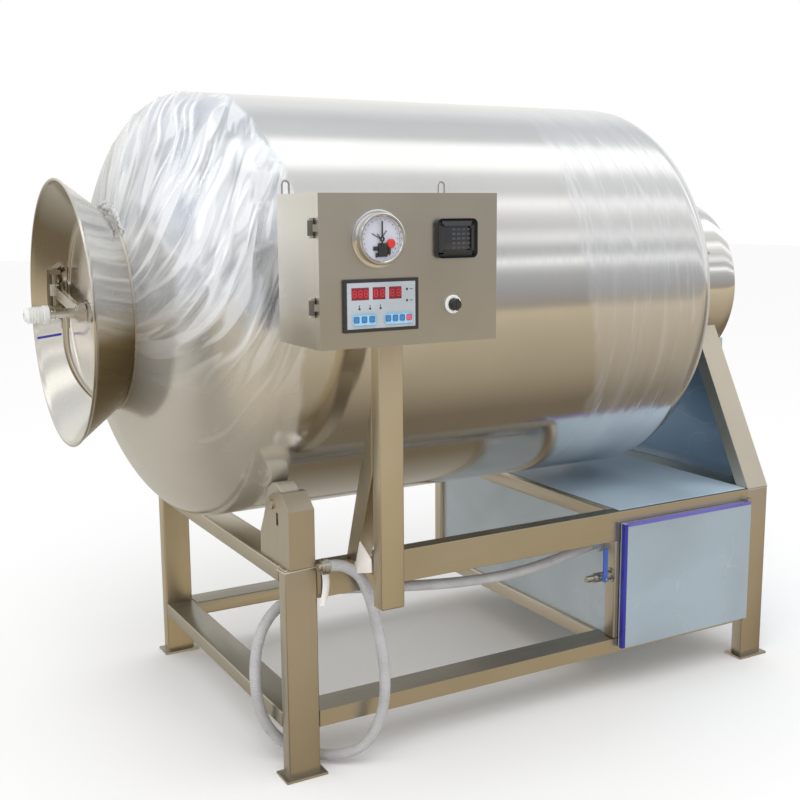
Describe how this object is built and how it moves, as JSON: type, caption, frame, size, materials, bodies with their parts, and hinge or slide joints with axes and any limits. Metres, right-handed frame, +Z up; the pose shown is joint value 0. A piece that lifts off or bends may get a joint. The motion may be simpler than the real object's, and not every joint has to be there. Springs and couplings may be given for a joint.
{
  "type": "meat vacuum tumbler",
  "caption": "Horizontal stainless vacuum tumbler: dished drum with a funnel mouth and hinged lid, on a welded tube frame with chain drive, control box and drive cabinet.",
  "frame": {"origin": "middle of the whole machine's footprint box, on the floor it stands on", "axes": "+Z up, +X from the loading mouth to the driven end along the drum's axis, +Y from the control box side to the back"},
  "size_m": [2.0436, 1.362, 1.607],
  "materials": {
    "frame_tube": "satin stainless tube, brushed along its length",
    "drum_steel": "polished stainless sheet with fine turned grain",
    "mouth_steel": "polished stainless, warm reflections",
    "collar_steel": "mirror polished stainless",
    "filmed_sheet": "stainless sheet under clear blue-grey transit film",
    "box_steel": "fine brushed stainless sheet",
    "drive_steel": "dark machined steel",
    "motor_paint": "semi-gloss machine paint",
    "roller_nylon": "dark cast nylon",
    "fitting_plastic": "white moulded plastic",
    "valve_brass": "nickelled brass",
    "lever_plastic": "blue dipped grip",
    "gauge_metal": "polished bezel with a pale dial",
    "panel_plastic": "black moulded bezel",
    "hose_plastic": "ribbed flexible plastic, matt",
    "clamp_steel": "bright clamp strip"
  },
  "bodies": {
    "frame": {"leg_front_left": "frame_tube", "leg_front_right": "frame_tube", "leg_rear_left": "frame_tube", "leg_rear_right": "frame_tube", "rail_upper_front": "frame_tube", "rail_upper_rear": "frame_tube", "rail_upper_left": "frame_tube", "rail_upper_right": "frame_tube", "rail_lower_front": "frame_tube", "rail_lower_rear": "frame_tube", "rail_lower_left": "frame_tube", "rail_lower_right": "frame_tube", "cross_rail_upper": "frame_tube", "cross_rail_lower": "frame_tube", "upright_front": "frame_tube", "upright_rear": "frame_tube", "roller_bracket_front": "frame_tube", "roller_bracket_rear": "frame_tube", "aframe_tube_front": "frame_tube", "aframe_tube_rear": "frame_tube", "post": "frame_tube", "post_brace": "frame_tube", "collar": "collar_steel", "rear_cover": "filmed_sheet", "chain_guard": "filmed_sheet", "cabinet_top": "filmed_sheet", "cabinet_wall": "filmed_sheet", "cabinet_back": "filmed_sheet", "cabinet_floor": "filmed_sheet", "box_shell": "box_steel", "chain": "drive_steel", "bearing_housing": "drive_steel", "gear_motor": "motor_paint", "vacuum_pump": "motor_paint", "drain_valve": "valve_brass", "vacuum_hose": "hose_plastic", "hose_end": "clamp_steel"},
    "drum": {"drum_shell": "drum_steel", "front_head": "drum_steel", "rear_head": "drum_steel", "mouth_cone": "mouth_steel", "flight_1": "drum_steel", "flight_2": "drum_steel", "flight_3": "drum_steel", "rear_shaft": "drive_steel", "door_bracket": "mouth_steel"},
    "roller_front": {"roller_front": "roller_nylon"},
    "roller_rear": {"roller_rear": "roller_nylon"},
    "motor_sprocket": {"motor_sprocket": "drive_steel"},
    "drum_door": {"door_disc": "mouth_steel", "door_arm": "mouth_steel"},
    "swivel": {"swivel_tail": "fitting_plastic"},
    "box_door": {"box_door": "box_steel", "gauge_case": "gauge_metal", "controller": "panel_plastic", "keypad": "panel_plastic"},
    "selector": {"selector_knob": "box_steel"},
    "pointer": {"gauge_pointer": "gauge_metal"},
    "cabinet_door": {"cabinet_door": "filmed_sheet"},
    "valve_lever": {"valve_lever": "lever_plastic"}
  },
  "joints": [
    {"name": "drum_spin", "type": "hinge", "parent": "frame", "child": "drum", "pos_m": [-0.00422, 0.155, 1.081], "axis": [1, 0, 0], "continuous": true},
    {"name": "roller_front_spin", "type": "hinge", "parent": "frame", "child": "roller_front", "pos_m": [-0.53522, -0.227, 0.64949], "axis": [1, 0, 0], "continuous": true},
    {"name": "roller_rear_spin", "type": "hinge", "parent": "frame", "child": "roller_rear", "pos_m": [-0.53522, 0.537, 0.64949], "axis": [1, 0, 0], "continuous": true},
    {"name": "motor_sprocket_spin", "type": "hinge", "parent": "frame", "child": "motor_sprocket", "pos_m": [0.96478, 0.155, 0.33], "axis": [1, 0, 0], "continuous": true},
    {"name": "drum_door_hinge", "type": "hinge", "parent": "drum", "child": "drum_door", "pos_m": [-0.89078, 0.405, 1.122], "axis": [0, 0, -1], "range_deg": [0, 110]},
    {"name": "swivel_turn", "type": "hinge", "parent": "drum_door", "child": "swivel", "pos_m": [-0.98478, 0.155, 1.081], "axis": [1, 0, 0], "continuous": true},
    {"name": "box_door_hinge", "type": "hinge", "parent": "frame", "child": "box_door", "pos_m": [-0.64652, -0.639, 1.205], "axis": [0, 0, -1], "range_deg": [0, 120]},
    {"name": "selector_turn", "type": "hinge", "parent": "box_door", "child": "selector", "pos_m": [-0.34522, -0.665, 1.133], "axis": [0, 1, 0], "range_deg": [-45, 45]},
    {"name": "pointer_turn", "type": "hinge", "parent": "box_door", "child": "pointer", "pos_m": [-0.51422, -0.678, 1.266], "axis": [0, 1, 0], "range_deg": [-120, 150]},
    {"name": "cabinet_door_hinge", "type": "hinge", "parent": "frame", "child": "cabinet_door", "pos_m": [0.87478, -0.329, 0.308], "axis": [0, 0, 1], "range_deg": [0, 110]},
    {"name": "valve_lever_turn", "type": "hinge", "parent": "frame", "child": "valve_lever", "pos_m": [0.35878, -0.316, 0.335], "axis": [0, -1, 0], "range_deg": [0, 90]}
  ],
  "couplings": [
    {"joint": "roller_front_spin", "follows": "drum_spin", "ratio": -10.52},
    {"joint": "roller_rear_spin", "follows": "drum_spin", "ratio": -10.52},
    {"joint": "motor_sprocket_spin", "follows": "drum_spin", "ratio": 3}
  ]
}
